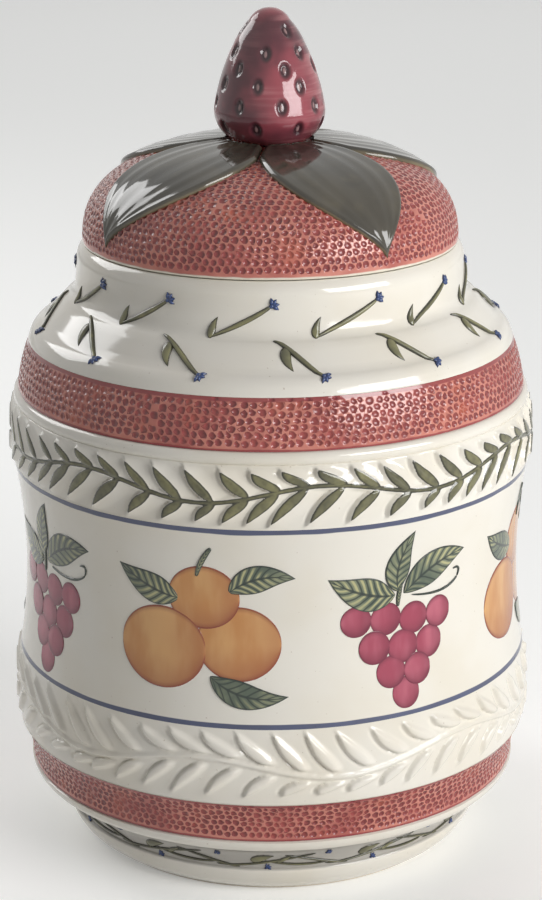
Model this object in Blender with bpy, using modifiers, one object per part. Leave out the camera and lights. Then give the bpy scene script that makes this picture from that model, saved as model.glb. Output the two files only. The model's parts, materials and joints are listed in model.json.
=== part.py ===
"""Kitchen canister: a turned earthenware jar with a domed lid that lifts off.

A strawberry is the lid's knob, five leaves lie round it on the dome, and a soft
ring in the lid's flange closes the neck. The canister stands on Z = 0 with its
axis on Z, and its front faces -Y. Outlines are pairs of radius and height. Each
runs with the clay on its right: out over a floor, up an inner wall, down an
outer one.
"""

import math

import bmesh
import bpy
from mathutils import Matrix, Vector

# All sizes are in metres and all angles in degrees, unless a note says otherwise.

# Space left between two pieces that touch, and how finely round work is drawn
FIT_GAP = 0.0003
TURN_STEPS = 44

# Height of the jar without its lid; its waist takes up what the other levels leave
JAR_HEIGHT = 0.2046

# Foot ring, its hollow underside and the cove above it
FOOT_RADIUS = 0.0634
FOOT_TOP_RADIUS = 0.0716
FOOT_HEIGHT = 0.0111
FOOT_SWELL = 0.0016
FOOT_EDGE_ROUND = 0.0009
FOOT_RING_WIDTH = 0.0058
FOOT_RECESS = 0.0042
COVE_RADIUS = 0.0710
COVE_LEDGE = 0.0011
COVE_HEIGHT = 0.0109
COVE_DEPTH = 0.0022

# Body, from the bead over the cove up to the bead under the shoulder
FOOT_BEAD_RADIUS = 0.0834
FOOT_BEAD_OVERHANG = 0.0028
FOOT_BEAD_HEIGHT = 0.0046
LOWER_BAND_HEIGHT = 0.0138
LOWER_BAND_HOLLOW = 0.0009
LOWER_GARLAND_RADIUS = 0.0869
LOWER_GARLAND_HEIGHT = 0.0263
LOWER_GARLAND_SWELL = 0.0005
BAND_STEP = 0.0006
LOWER_LINE_RADIUS = 0.0861
WAIST_HOLLOW = 0.0030
UPPER_LINE_RADIUS = 0.0863
UPPER_GARLAND_HEIGHT = 0.0208
GROOVE_RADIUS = 0.0851
SHOULDER_BEAD_HEIGHT = 0.0040
SHOULDER_BEAD_SWELL = 0.0010

# Upper band, shoulder, neck and rim
UPPER_BAND_LOW_RADIUS = 0.0843
UPPER_BAND_TOP_RADIUS = 0.0797
UPPER_BAND_HEIGHT = 0.0154
UPPER_BAND_SWELL = 0.0006
SHOULDER_EDGE = 0.0022
SHOULDER_ROUND = 0.0045
SHOULDER_HEIGHT = 0.0138
NECK_RADIUS = 0.0644
NECK_TAPER = 0.0007
NECK_COVE = 0.0045
NECK_HEIGHT = 0.0162
RIM_ROUND_HEIGHT = 0.0052
RIM_RADIUS = 0.0614
RIM_INNER_ROUND = 0.0008

# Clay thickness of the jar, its floor and the curve from floor to wall
WALL = 0.0048
NECK_WALL = 0.0056
FLOOR_THICKNESS = 0.0056
FLOOR_RADIUS = 0.0580
FLOOR_CURVE_HEIGHT = 0.0345
FLOOR_CURVE_DEPTH = 0.0062

# Lid: a dome whose section is a superellipse, on a flange that enters the neck
DOME_RADIUS = 0.0618
DOME_HEIGHT = 0.0320
DOME_FULLNESS = 2.55
DOME_STEPS = 12
DOME_INNER_STEPS = 8
DOME_WALL = 0.0046
DOME_EDGE_ROUND = 0.0007
FLANGE_CLEARANCE = 0.0023
FLANGE_WALL = 0.0048
FLANGE_DEPTH = 0.0145
FLANGE_ROUND = 0.0012
GROOVE_DROP = 0.0050
GROOVE_HEIGHT = 0.0060
GROOVE_DEPTH = 0.0016

# Seal ring: a band in the flange's groove with soft fins that reach to the neck
SEAL_BAND = 0.0013
SEAL_FINS = 2
SEAL_FIN_TIP = 0.0007
SEAL_FIN_ROOT = 0.0014

# Strawberry knob: height and radius of its belly, of its flank and of its tip
KNOB_FOOT_RADIUS = 0.0120
KNOB_RADIUS = 0.0181
KNOB_BELLY_HEIGHT = 0.0102
KNOB_FLANK_RADIUS = 0.0116
KNOB_FLANK_HEIGHT = 0.0312
KNOB_TIP_RADIUS = 0.0066
KNOB_TIP_HEIGHT = 0.0389
KNOB_HEIGHT = 0.0428
KNOB_SWELLS = (0.0017, 0.0009, 0.0004, 0.0011)
KNOB_STEPS = 26

# Seed pits: (share of the knob's height, seeds in the row, turn of the first)
SEED_ROWS = (
    (0.135, 8, -15.0),
    (0.300, 8, 10.0),
    (0.455, 7, -14.5),
    (0.575, 6, 17.5),
    (0.695, 6, -8.0),
    (0.850, 3, 38.0),
)
PIT_WIDTH = 0.0036
PIT_LENGTH = 0.0048
PIT_DEPTH = 0.0011
SEED_WIDTH = 0.0015
SEED_LENGTH = 0.0025
SEED_RISE = 0.0006
PIT_FACETS = (8, 6)
SEED_FACETS = (6, 4)

# Leaves: each name with how far its tip leans to the right of its root. A fall is
# how many times over the thickness drops in the half width or length of a leaf.
LEAVES = (
    ("leaf_front_right", 8.0),
    ("leaf_back_right", 24.0),
    ("leaf_back", 2.0),
    ("leaf_back_left", -21.0),
    ("leaf_front_left", -13.5),
)
FIRST_LEAF_TURN = 28.0
LEAF_THICKNESS = 0.0021
LEAF_EDGE_SHARE = 0.42
LEAF_PARTING = 0.0006
LEAF_NOTCH_REACH = 0.0270
LEAF_REACH = 0.0745
LEAF_BELLY = 4.5
LEAF_TIP_WIDTH = 0.0016
LEAF_ROWS = 12
LEAF_COLUMNS = 8
LEAF_VEINS = 2
LEAF_BLADE_SHARE = 0.62
LEAF_RIM_FALL = 4
LEAF_TIP_FALL = 6
LEAF_MIDRIB_FALL = 5

# Finishes: base colour, roughness and metallic value
FINISHES = {
    "cream_glaze": ((0.82, 0.78, 0.69), 0.12, 0.0),
    "red_glaze": ((0.45, 0.11, 0.09), 0.15, 0.0),
    "berry_glaze": ((0.27, 0.05, 0.07), 0.12, 0.0),
    "leaf_glaze": ((0.10, 0.10, 0.07), 0.15, 0.0),
    "seal_silicone": ((0.80, 0.80, 0.76), 0.45, 0.0),
}


def arc(start, end, swell, parts):
    """Points from after start up to end on an arc. It swells out of the clay, or into it below zero."""
    chord = math.dist(start, end)
    along = ((end[0] - start[0]) / chord, (end[1] - start[1]) / chord)
    outward = (-along[1], along[0])
    half_angle = 2 * math.atan(2 * swell / chord)
    radius = chord / (2 * math.sin(half_angle))
    points = []
    for part in range(1, parts + 1):
        angle = half_angle * (2 * part / parts - 1)
        forth = chord / 2 + radius * math.sin(angle)
        out = radius * (math.cos(angle) - math.cos(half_angle))
        points.append(
            (
                start[0] + along[0] * forth + outward[0] * out,
                start[1] + along[1] * forth + outward[1] * out,
            )
        )
    return points


def outline(start, *stretches):
    """Joins stretches to one outline: a point, or (point, swell, parts) for an arc."""
    points = [start]
    for stretch in stretches:
        if len(stretch) == 3:
            points += arc(points[-1], *stretch)
        else:
            points.append(stretch)
    return points


def material(finish):
    """The material of that name from FINISHES, made when it is first asked for."""
    if finish in bpy.data.materials:
        return bpy.data.materials[finish]
    colour, roughness, metallic = FINISHES[finish]
    made = bpy.data.materials.new(finish)
    made.use_nodes = True
    shader = made.node_tree.nodes["Principled BSDF"]
    shader.inputs["Base Color"].default_value = (*colour, 1.0)
    shader.inputs["Roughness"].default_value = roughness
    shader.inputs["Metallic"].default_value = metallic
    return made


def piece(name, mesh, collection, finish=None, parent=None):
    """One object with its own material, smooth except at real edges."""
    mesh.shade_smooth()
    mesh.set_sharp_from_angle(angle=math.radians(35))
    made = bpy.data.objects.new(name, mesh)
    collection.objects.link(made)
    made.parent = parent
    if finish:
        mesh.materials.append(material(finish))
    return made


def turned(name, points, collection, finish, parent=None, steps=TURN_STEPS, ring=False):
    """A piece turned on the Z axis from an outline. A ring's outline closes on itself."""
    mesh = bpy.data.meshes.new(name)
    edges = [(i, i + 1) for i in range(len(points) - 1)]
    if ring:
        edges.append((len(points) - 1, 0))
    mesh.from_pydata([(radius, 0.0, height) for radius, height in points], edges, [])
    made = piece(name, mesh, collection, finish, parent)
    screw = made.modifiers.new("Turn", "SCREW")
    screw.axis = "Z"
    screw.steps = steps
    screw.render_steps = steps
    screw.use_merge_vertices = True
    screw.merge_threshold = 1e-5
    screw.use_smooth_shade = True
    return made


def jar_heights():
    """Height of each level: the lower ones up from the foot, the others down from the rim."""
    levels = {}
    height = 0.0
    for level, rise in (
        ("foot_top", FOOT_HEIGHT),
        ("cove_top", COVE_HEIGHT),
        ("foot_bead_top", FOOT_BEAD_HEIGHT),
        ("lower_band_top", LOWER_BAND_HEIGHT),
        ("lower_line", LOWER_GARLAND_HEIGHT),
    ):
        height += rise
        levels[level] = height
    height = JAR_HEIGHT
    levels["rim"] = height
    for level, drop in (
        ("neck_foot", NECK_HEIGHT),
        ("shoulder_edge", SHOULDER_HEIGHT),
        ("upper_band_top", SHOULDER_EDGE),
        ("shoulder_bead_top", UPPER_BAND_HEIGHT),
        ("groove", SHOULDER_BEAD_HEIGHT),
        ("upper_line", UPPER_GARLAND_HEIGHT),
    ):
        height -= drop
        levels[level] = height
    return levels


def neck_bore():
    """Radius of the neck's inside, which the lid's flange and its seal fit."""
    return NECK_RADIUS - NECK_WALL


def jar_inside(levels):
    """The jar's inner outline, from the middle of its floor up to the rim."""
    floor = FOOT_RECESS + FLOOR_THICKNESS
    bore = neck_bore()
    low_wall = LOWER_GARLAND_RADIUS - WALL
    uphill = Vector((NECK_RADIUS - UPPER_BAND_TOP_RADIUS, SHOULDER_HEIGHT)).normalized()
    inward = Vector((-uphill.y, uphill.x)) * WALL
    shoulder_corner = Vector((UPPER_BAND_TOP_RADIUS, levels["shoulder_edge"])) + inward
    shoulder_top = Vector((NECK_RADIUS, levels["neck_foot"])) + inward
    return outline(
        (0.0, floor),
        (FLOOR_RADIUS, floor),
        ((low_wall, floor + FLOOR_CURVE_HEIGHT), -FLOOR_CURVE_DEPTH, 4),
        (LOWER_LINE_RADIUS - WALL, levels["lower_line"]),
        ((UPPER_LINE_RADIUS - WALL, levels["upper_line"]), WAIST_HOLLOW, 4),
        (GROOVE_RADIUS - WALL, levels["groove"]),
        (tuple(shoulder_corner - Vector((0.0, WALL / 2))), -UPPER_BAND_SWELL, 2),
        (tuple(shoulder_corner + uphill * WALL / 2), -WALL / 8, 2),
        tuple(shoulder_top),
        ((bore, levels["neck_foot"] + WALL / 2), WALL / 4, 2),
        (bore, levels["rim"] - RIM_INNER_ROUND),
        (bore + RIM_INNER_ROUND, levels["rim"]),
    )


def jar_outside(levels):
    """The jar's outer outline, from the rim down to the middle of its underside."""
    neck_foot = (NECK_RADIUS, levels["neck_foot"] + NECK_COVE / 2)
    shoulder_top = (NECK_RADIUS + NECK_COVE, levels["neck_foot"] - NECK_COVE / 2)
    shoulder_low = (UPPER_BAND_TOP_RADIUS - SHOULDER_ROUND, levels["shoulder_edge"] + SHOULDER_ROUND)
    shoulder_edge = (UPPER_BAND_TOP_RADIUS, levels["shoulder_edge"])
    band_top = levels["lower_band_top"]
    cove_foot = (COVE_RADIUS, levels["foot_top"] + COVE_LEDGE)
    foot_bead = (FOOT_BEAD_RADIUS - FOOT_BEAD_OVERHANG, levels["cove_top"])
    ring_inner = FOOT_RADIUS - FOOT_RING_WIDTH
    return outline(
        (RIM_RADIUS, levels["rim"]),
        ((NECK_RADIUS - NECK_TAPER, levels["rim"] - RIM_ROUND_HEIGHT), NECK_TAPER, 2),
        neck_foot,
        (shoulder_top, -NECK_COVE / 5, 2),
        shoulder_low,
        (shoulder_edge, SHOULDER_ROUND / 5, 2),
        (UPPER_BAND_TOP_RADIUS + BAND_STEP, levels["upper_band_top"] + BAND_STEP),
        (UPPER_BAND_TOP_RADIUS + BAND_STEP / 2, levels["upper_band_top"]),
        ((UPPER_BAND_LOW_RADIUS, levels["shoulder_bead_top"]), UPPER_BAND_SWELL, 3),
        ((GROOVE_RADIUS, levels["groove"]), SHOULDER_BEAD_SWELL, 3),
        ((UPPER_LINE_RADIUS, levels["upper_line"]), BAND_STEP, 3),
        ((LOWER_LINE_RADIUS, levels["lower_line"]), -WAIST_HOLLOW, 6),
        ((LOWER_GARLAND_RADIUS, band_top + BAND_STEP), LOWER_GARLAND_SWELL, 2),
        (LOWER_GARLAND_RADIUS - BAND_STEP, band_top),
        ((FOOT_BEAD_RADIUS - BAND_STEP / 2, levels["foot_bead_top"]), -LOWER_BAND_HOLLOW, 2),
        (FOOT_BEAD_RADIUS, levels["foot_bead_top"] - BAND_STEP),
        (foot_bead, FOOT_BEAD_OVERHANG / 4, 2),
        (cove_foot, -COVE_DEPTH, 3),
        (FOOT_TOP_RADIUS, levels["foot_top"]),
        ((FOOT_RADIUS, FOOT_EDGE_ROUND), FOOT_SWELL, 2),
        (FOOT_RADIUS - FOOT_EDGE_ROUND, 0.0),
        (ring_inner, 0.0),
        ((ring_inner - FOOT_RECESS / 2, FOOT_RECESS), -FOOT_EDGE_ROUND / 2, 2),
        (0.0, FOOT_RECESS),
    )


def make_jar_body(collection):
    levels = jar_heights()
    points = jar_inside(levels) + jar_outside(levels)
    return turned("jar_body", points, collection, "cream_glaze")


def dome(radius, height, steps):
    """A quarter of a superellipse, from the top of the axis down to the widest ring."""
    power = 2 / DOME_FULLNESS
    points = [(0.0, height)]
    for step in range(1, steps):
        angle = math.pi / 2 * (1 - step / steps)
        points.append((radius * math.cos(angle) ** power, height * math.sin(angle) ** power))
    return points + [(radius, 0.0)]


def flange_radius():
    return neck_bore() - FLANGE_CLEARANCE


def lid_outline():
    """The lid's section, with height 0 on the face that rests on the rim."""
    rim = DOME_RADIUS - DOME_EDGE_ROUND
    outer = dome(DOME_RADIUS, DOME_HEIGHT, DOME_STEPS)
    outer = [(r, z) for r, z in outer if z > DOME_EDGE_ROUND]
    flange = flange_radius()
    bottom = -FLANGE_DEPTH
    inside = flange - FLANGE_WALL
    groove_floor = flange - GROOVE_DEPTH
    groove_low = -GROOVE_DROP - GROOVE_HEIGHT
    below = outline(
        (DOME_RADIUS, DOME_EDGE_ROUND),
        (rim, 0.0),
        (flange, 0.0),
        (flange, -GROOVE_DROP),
        (groove_floor, -GROOVE_DROP),
        (groove_floor, groove_low),
        (flange, groove_low),
        (flange, bottom + FLANGE_ROUND),
        (flange - FLANGE_ROUND, bottom),
        (inside + FLANGE_ROUND, bottom),
        (inside, bottom + FLANGE_ROUND),
        (inside, -DOME_WALL / 2),
    )
    inner = dome(DOME_RADIUS - DOME_WALL, DOME_HEIGHT - DOME_WALL, DOME_INNER_STEPS)
    inner = [(r, z) for r, z in reversed(inner) if z > DOME_WALL / 2]
    return outer + below + inner


def make_lid(collection, seat):
    return turned("lid", lid_outline(), collection, "red_glaze", parent=seat)


def make_seal_ring(collection, seat):
    """A band in the flange's groove. Its fins stop just short of the neck's bore."""
    inside = flange_radius() - GROOVE_DEPTH + FIT_GAP
    band = inside + SEAL_BAND
    fin_tip = neck_bore() - FIT_GAP
    top = -GROOVE_DROP - FIT_GAP
    bottom = -GROOVE_DROP - GROOVE_HEIGHT + FIT_GAP
    pitch = (top - bottom) / SEAL_FINS
    points = [(inside, top), (band, top)]
    for fin in range(SEAL_FINS):
        middle = top - pitch * (fin + 0.5)
        points += [
            (band, middle + SEAL_FIN_ROOT / 2),
            (fin_tip, middle + SEAL_FIN_TIP / 2),
            (fin_tip, middle - SEAL_FIN_TIP / 2),
            (band, middle - SEAL_FIN_ROOT / 2),
        ]
    points += [(band, bottom), (inside, bottom)]
    return turned("seal_ring", points, collection, "seal_silicone", parent=seat, ring=True)


def knob_outline():
    """The knob's section from its tip down to the middle of its flat foot."""
    tip_swell, flank_swell, belly_swell, foot_swell = reversed(KNOB_SWELLS)
    return outline(
        (0.0, KNOB_HEIGHT),
        ((KNOB_TIP_RADIUS, KNOB_TIP_HEIGHT), tip_swell, 3),
        ((KNOB_FLANK_RADIUS, KNOB_FLANK_HEIGHT), flank_swell, 2),
        ((KNOB_RADIUS, KNOB_BELLY_HEIGHT), belly_swell, 6),
        ((KNOB_FOOT_RADIUS, 0.0), foot_swell, 4),
        (0.0, 0.0),
    )


def knob_surface(height):
    """Radius of the knob at a height, and how much it grows per metre of height there."""
    points = knob_outline()[:-1]
    for (upper_r, upper_z), (lower_r, lower_z) in zip(points, points[1:]):
        if lower_z <= height <= upper_z:
            growth = (upper_r - lower_r) / (upper_z - lower_z)
            return lower_r + growth * (height - lower_z), growth
    return KNOB_FOOT_RADIUS, 0.0


def ellipsoids(name, collection, places, size, facets):
    """A helper of many ellipsoids, of that width, depth and length, one at each place."""
    bm = bmesh.new()
    width, depth, length = size
    meridians, rings = facets
    shape = Matrix.Diagonal((width / 2, depth, length / 2, 1.0))
    for place in places:
        bmesh.ops.create_uvsphere(
            bm, u_segments=meridians, v_segments=rings, radius=1.0, matrix=place @ shape
        )
    mesh = bpy.data.meshes.new(name)
    bm.to_mesh(mesh)
    bm.free()
    helper = piece(name, mesh, collection)
    helper.hide_render = True
    helper.display_type = "WIRE"
    return helper


def seed_places(sunk):
    """A matrix for each seed, sunk below the knob's surface, with its -Y facing out."""
    places = []
    for share, count, first_turn in SEED_ROWS:
        height = share * KNOB_HEIGHT
        radius, growth = knob_surface(height)
        tilt = Matrix.Rotation(math.atan(growth), 4, "X")
        for seed in range(count):
            turn = math.radians(first_turn + 360 * seed / count)
            spin = Matrix.Rotation(turn, 4, "Z")
            out = Matrix.Translation((0.0, -radius, height))
            places.append(spin @ out @ tilt @ Matrix.Translation((0.0, sunk, 0.0)))
    return places


def make_strawberry_knob(collection, cutters, seat):
    """A berry with rows of seeds, each raised from the floor of its own pit."""
    knob = turned("strawberry_knob", knob_outline(), collection, "berry_glaze", seat, KNOB_STEPS)
    knob.location.z = DOME_HEIGHT + FIT_GAP
    pit_size = (PIT_WIDTH, PIT_DEPTH, PIT_LENGTH)
    seed_size = (SEED_WIDTH, SEED_RISE, SEED_LENGTH)
    pits = ellipsoids("seed_pits", cutters, seed_places(0.0), pit_size, PIT_FACETS)
    seeds = ellipsoids("seeds", cutters, seed_places(PIT_DEPTH), seed_size, SEED_FACETS)
    for helper, operation in ((pits, "DIFFERENCE"), (seeds, "UNION")):
        helper.parent = knob
        boolean = knob.modifiers.new(helper.name, "BOOLEAN")
        boolean.operation = operation
        boolean.object = helper
    return knob


def dome_walk():
    """Points down the dome, each as (way walked from the top, radius, height)."""
    walk = [(0.0, 0.0, DOME_HEIGHT)]
    for radius, height in dome(DOME_RADIUS, DOME_HEIGHT, 8 * DOME_STEPS)[1:]:
        way = walk[-1][0] + math.dist(walk[-1][1:], (radius, height))
        walk.append((way, radius, height))
    return walk


def dome_place(way, walk):
    """Radius and height on the dome after that way from its top, and its outward slope."""
    for (way_a, r_a, z_a), (way_b, r_b, z_b) in zip(walk, walk[1:]):
        if way <= way_b:
            break
    share = (way - way_a) / (way_b - way_a)
    step = math.dist((r_a, z_a), (r_b, z_b))
    normal = ((z_a - z_b) / step, (r_b - r_a) / step)
    return r_a + share * (r_b - r_a), z_a + share * (z_b - z_a), normal


def leaf_edges(way, radius, root_turn, lean):
    """Turn of a leaf's two edges, in radians, where it has come that way down the dome."""
    narrowing = max(0.0, (way - LEAF_NOTCH_REACH) / (LEAF_REACH - LEAF_NOTCH_REACH))
    middle = math.radians(root_turn + lean * narrowing)
    root_half = math.pi / len(LEAVES) - LEAF_PARTING / 2 / radius
    belly = math.radians(LEAF_BELLY) * math.sin(math.pi * narrowing)
    tip_half = LEAF_TIP_WIDTH / 2 / radius
    half = root_half * (1 - narrowing) + belly + tip_half * narrowing
    return middle - half, middle + half


def leaf_fullness(across, down):
    """Share of a leaf's thickness: full on its midrib, ribbed by veins, thin at its edge."""
    edge = min(1.0, LEAF_RIM_FALL * (1 - abs(across)), LEAF_TIP_FALL * (1 - down))
    veins = 0.5 + 0.5 * math.cos(2 * math.pi * (LEAF_VEINS + 0.5) * abs(across))
    rib = max(veins * (1 - abs(across)), 1 - LEAF_MIDRIB_FALL * abs(across))
    return edge * (LEAF_BLADE_SHARE + (1 - LEAF_BLADE_SHARE) * rib)


def make_leaf(name, root_turn, lean, collection, seat):
    """A leaf laid on the dome, as a grid shaped to it and given its thickness."""
    walk = dome_walk()
    knob_edge, _ = knob_surface(LEAF_THICKNESS + FIT_GAP)
    start = knob_edge + 2 * FIT_GAP
    bm = bmesh.new()
    bmesh.ops.create_grid(bm, x_segments=LEAF_COLUMNS, y_segments=LEAF_ROWS, size=1.0)
    fullness = []
    for vert in bm.verts:
        across = vert.co.x
        down = (vert.co.y + 1) / 2
        way = start + (LEAF_REACH - start) * down
        radius, height, normal = dome_place(way, walk)
        left, right = leaf_edges(way, radius, root_turn, lean)
        turn = left + (right - left) * (across + 1) / 2
        lifted = radius + FIT_GAP * normal[0]
        vert.co = (lifted * math.sin(turn), -lifted * math.cos(turn), height + FIT_GAP * normal[1])
        fullness.append(leaf_fullness(across, down))
    bmesh.ops.reverse_faces(bm, faces=bm.faces)
    mesh = bpy.data.meshes.new(name)
    bm.to_mesh(mesh)
    bm.free()
    leaf = piece(name, mesh, collection, "leaf_glaze", seat)
    group = leaf.vertex_groups.new(name="fullness")
    for index, share in enumerate(fullness):
        group.add([index], max(0.0, share), "REPLACE")
    solid = leaf.modifiers.new("Thickness", "SOLIDIFY")
    solid.thickness = LEAF_THICKNESS
    solid.offset = 1.0
    solid.vertex_group = group.name
    solid.thickness_vertex_group = LEAF_EDGE_SHARE
    return leaf


def main():
    for old in list(bpy.data.objects):
        bpy.data.objects.remove(old, do_unlink=True)
    canister = bpy.data.collections.new("kitchen_canister")
    cutters = bpy.data.collections.new("cutters")
    for collection in (canister, cutters):
        bpy.context.scene.collection.children.link(collection)

    make_jar_body(canister)

    # The lid and all that it carries stand on one empty, on the axis it lifts along.
    seat = bpy.data.objects.new("lid_seat", None)
    seat.location.z = jar_heights()["rim"] + FIT_GAP
    canister.objects.link(seat)
    make_lid(canister, seat)
    make_seal_ring(canister, seat)
    make_strawberry_knob(canister, cutters, seat)
    for index, (name, lean) in enumerate(LEAVES):
        root_turn = FIRST_LEAF_TURN + 360 / len(LEAVES) * index
        make_leaf(name, root_turn, lean, canister, seat)


main()
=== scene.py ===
import json
import math
import random

import bpy
import numpy as np
from mathutils import Matrix, Vector
from mathutils.kdtree import KDTree

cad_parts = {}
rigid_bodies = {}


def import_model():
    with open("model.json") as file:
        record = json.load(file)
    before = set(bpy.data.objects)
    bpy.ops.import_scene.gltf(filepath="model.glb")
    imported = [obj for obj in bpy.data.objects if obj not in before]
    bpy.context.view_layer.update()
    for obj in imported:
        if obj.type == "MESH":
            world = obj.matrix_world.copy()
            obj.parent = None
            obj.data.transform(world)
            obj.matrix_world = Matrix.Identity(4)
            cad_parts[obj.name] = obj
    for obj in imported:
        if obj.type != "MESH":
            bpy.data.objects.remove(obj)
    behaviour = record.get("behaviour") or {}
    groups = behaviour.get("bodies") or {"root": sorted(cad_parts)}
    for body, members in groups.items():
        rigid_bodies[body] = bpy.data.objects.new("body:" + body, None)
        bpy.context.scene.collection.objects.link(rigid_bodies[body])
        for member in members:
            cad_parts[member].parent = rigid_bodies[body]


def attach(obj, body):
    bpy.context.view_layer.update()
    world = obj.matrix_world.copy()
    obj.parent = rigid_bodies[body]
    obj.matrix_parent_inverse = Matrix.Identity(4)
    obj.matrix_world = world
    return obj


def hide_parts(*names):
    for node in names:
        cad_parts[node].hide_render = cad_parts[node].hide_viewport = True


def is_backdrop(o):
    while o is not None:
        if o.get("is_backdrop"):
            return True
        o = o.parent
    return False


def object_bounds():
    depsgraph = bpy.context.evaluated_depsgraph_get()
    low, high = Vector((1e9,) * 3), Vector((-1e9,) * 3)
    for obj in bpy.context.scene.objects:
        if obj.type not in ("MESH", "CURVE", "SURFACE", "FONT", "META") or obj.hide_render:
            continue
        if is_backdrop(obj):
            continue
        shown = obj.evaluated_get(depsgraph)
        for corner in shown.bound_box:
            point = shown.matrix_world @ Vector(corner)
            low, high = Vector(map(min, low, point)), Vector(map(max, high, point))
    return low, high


bpy.ops.object.select_all(action="SELECT")
bpy.ops.object.delete()

# Glazed kitchen canister: the looks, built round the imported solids.
# Lengths are in millimetres until they reach a mesh.
# Turns are in degrees, 0 at the front and 90 at the right.
mm = 0.001
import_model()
bpy.ops.object.select_all(action="DESELECT")
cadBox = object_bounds()


def colour(red, green, blue):  # a screen colour, 0 to 255, as the linear colour a shader takes
    shades = [value / 255 for value in (red, green, blue)]
    return (*[s / 12.92 if s <= 0.04045 else ((s + 0.055) / 1.055) ** 2.4 for s in shades], 1.0)


# Shader maths

class Wire:
    # one output of a node, which adds Math nodes when it is reckoned with
    def __init__(self, nodes, socket):
        self.nodes = nodes
        self.socket = socket

    def reckon(self, operation, *values):
        return self.nodes.add("Math", {"operation": operation}, dict(enumerate((self, *values))))

    def __add__(self, other):
        return self.reckon("ADD", other)

    def __sub__(self, other):
        return self.reckon("SUBTRACT", other)

    def __rsub__(self, other):
        return self.nodes.add("Math", {"operation": "SUBTRACT"}, {0: other, 1: self})

    def __mul__(self, other):
        return self.reckon("MULTIPLY", other)

    def __abs__(self):
        return self.reckon("ABSOLUTE")

    __radd__ = __add__
    __rmul__ = __mul__

    def between(self, low, high):  # 0 up to low, 1 from high on, a soft step between them
        limits = {"interpolation_type": "SMOOTHSTEP"}
        return self.nodes.add("MapRange", limits, {0: self, 1: low, 2: high, 3: 0.0, 4: 1.0})


class Nodes:
    # a material's or the world's tree, and the few ways its nodes are added
    def __init__(self, owner):
        owner.use_nodes = True
        self.tree = owner.node_tree

    def add(self, kind, settings=None, inputs=None, output=0):
        node = self.tree.nodes.new("ShaderNode" + kind)
        for name, value in (settings or {}).items():
            setattr(node, name, value)
        for name, value in (inputs or {}).items():
            if isinstance(value, Wire):
                self.tree.links.new(value.socket, node.inputs[name])
            else:
                node.inputs[name].default_value = glazes[value] if isinstance(value, str) else value
        return Wire(self, node.outputs[output])

    def place(self):
        return self.add("TexCoord", output="Object")

    def along(self, axis):
        return self.add("SeparateXYZ", inputs={0: self.place()}, output=axis)

    def carried(self, name, output="Fac"):  # a value or a vector that the mesh carries
        return self.add("Attribute", {"attribute_name": name}, output=output)

    def noise(self, scale, detail=2.0, stretch=(1.0, 1.0, 1.0)):  # scale is per metre; it gives about 0.5
        where = self.add("Mapping", inputs={"Vector": self.place(), "Scale": stretch})
        return self.add("TexNoise", inputs={"Vector": where, "Scale": scale, "Detail": detail})

    def ragged(self, value, scale, amount):  # the value, made uneven by noise
        return value + (self.noise(scale) - 0.5) * amount

    def fired(self, scale=60.0):  # the roughness of a clear glaze, faintly uneven
        return self.noise(scale) * 0.08 + 0.06

    def mix(self, factor, first, second):  # colours, or the names of glazes
        return self.add("Mix", {"data_type": "RGBA"}, {0: factor, 6: first, 7: second}, output=2)

    def bump(self, height, distance, strength):
        return self.add("Bump", inputs={"Strength": strength, "Distance": distance, "Height": height})

    def raysMixed(self, usual, direct):  # the second colour is what the camera and reflections see
        kinds = ("Is Camera Ray", "Is Glossy Ray", "Is Transmission Ray")
        camera, glossy, through = [self.add("LightPath", output=kind) for kind in kinds]
        return self.mix(camera.reckon("MAXIMUM", glossy).reckon("MAXIMUM", through), usual, direct)


fedSockets = {"base": "Base Color", "rough": "Roughness", "normal": "Normal", "glow": "Emission Color"}


class Finish(Nodes):
    # a Principled material
    def __init__(self, name, constants):
        self.material = bpy.data.materials.new(name)
        super().__init__(self.material)
        self.shader = self.tree.nodes["Principled BSDF"]
        for socket, value in constants.items():
            self.shader.inputs[socket].default_value = value

    def feed(self, **links):  # whatever varies over the surface
        for name, value in links.items():
            self.tree.links.new(value.socket, self.shader.inputs[fedSockets[name]])
        return self.material


# Modelling by operators

def named(piece, name):
    piece.name = name
    piece.data.name = name
    return piece


def newPiece(name, add, **settings):  # a primitive, alone selected and named
    bpy.ops.object.select_all(action="DESELECT")
    add(**settings)
    return named(bpy.context.object, name)


def only(piece):
    bpy.ops.object.select_all(action="DESELECT")
    piece.select_set(True)
    bpy.context.view_layer.objects.active = piece


def readPoints(piece):
    points = np.empty(len(piece.data.vertices) * 3)
    piece.data.vertices.foreach_get("co", points)
    return points.reshape(-1, 3)


def writePoints(piece, points):
    piece.data.vertices.foreach_set("co", np.asarray(points, float).ravel())
    piece.data.update()


def writeValue(piece, name, values):  # one number for each vertex, or three
    values = np.asarray(values, float)
    kind, field = ("FLOAT", "value") if values.ndim == 1 else ("FLOAT_VECTOR", "vector")
    piece.data.attributes.new(name, kind, "POINT").data.foreach_set(field, values.ravel())


def choose(parts, test):  # selects those that pass the test, and leaves the rest
    for part in parts:
        part.select = bool(test(part))


# steps for inEditMode, each an operator and its settings
pickAll = (bpy.ops.mesh.select_all, {"action": "SELECT"})
pickNone = (bpy.ops.mesh.select_all, {"action": "DESELECT"})
pickOpenEdges = (bpy.ops.mesh.select_non_manifold, {"use_wire": False, "use_multi_face": False,
                                                    "use_non_contiguous": False, "use_verts": False})
bridge = (bpy.ops.mesh.bridge_edge_loops, {"type": "SINGLE"})
weld = (bpy.ops.mesh.remove_doubles, {"threshold": 1e-6})
faceOut = (bpy.ops.mesh.normals_make_consistent, {"inside": False})


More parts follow.
